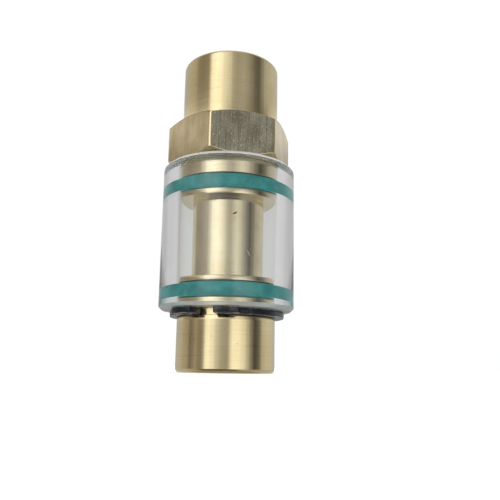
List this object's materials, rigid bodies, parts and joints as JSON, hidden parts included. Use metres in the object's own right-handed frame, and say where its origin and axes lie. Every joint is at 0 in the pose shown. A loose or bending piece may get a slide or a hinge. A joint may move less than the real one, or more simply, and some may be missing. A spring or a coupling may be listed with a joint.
{
  "type": "sight glass",
  "caption": "In-line brass sight glass for an oil return line: clear sleeve on green O-rings, kept by a black circlip, with a strainer, an orifice jet and a sprung ball check valve inside.",
  "frame": {"origin": "centre of the lower end face, on the object's axis", "axes": "+Z along the axis from the inlet end up to the outlet end, -Y towards the front"},
  "size_m": [0.0264, 0.0264, 0.0622],
  "materials": {
    "brass_body": "turned, satin",
    "brass_insert": "turned, satin",
    "clear_sleeve": "clear, polished",
    "green_rubber": "smooth",
    "black_spring_steel": "phosphated, oiled",
    "wire_mesh": "woven wire",
    "bright_steel": "polished",
    "white_plastic": "turned, satin"
  },
  "bodies": {
    "body": {"valve_body": "brass_body", "upper_o_ring": "green_rubber", "lower_o_ring": "green_rubber", "strainer_mesh": "wire_mesh", "strainer_ring": "brass_insert", "orifice_jet": "brass_insert", "seat_ring": "white_plastic", "check_spring": "bright_steel", "spring_retainer": "brass_insert"},
    "sleeve": {"sight_sleeve": "clear_sleeve"},
    "circlip": {"circlip": "black_spring_steel"},
    "ball": {"check_ball": "bright_steel"}
  },
  "joints": [
    {"name": "sleeve_turn", "type": "hinge", "parent": "body", "child": "sleeve", "pos_m": [0, 0, 0.026], "axis": [0, 0, 1], "continuous": true},
    {"name": "circlip_turn", "type": "hinge", "parent": "body", "child": "circlip", "pos_m": [0, 0, 0.011], "axis": [0, 0, 1], "continuous": true},
    {"name": "ball_lift", "type": "slide", "parent": "body", "child": "ball", "axis": [0, 0, 1], "range_m": [0, 0.0016], "stiffness_N_per_m": 60, "springref_m": -0.0015, "deforming": ["check_spring"]}
  ]
}
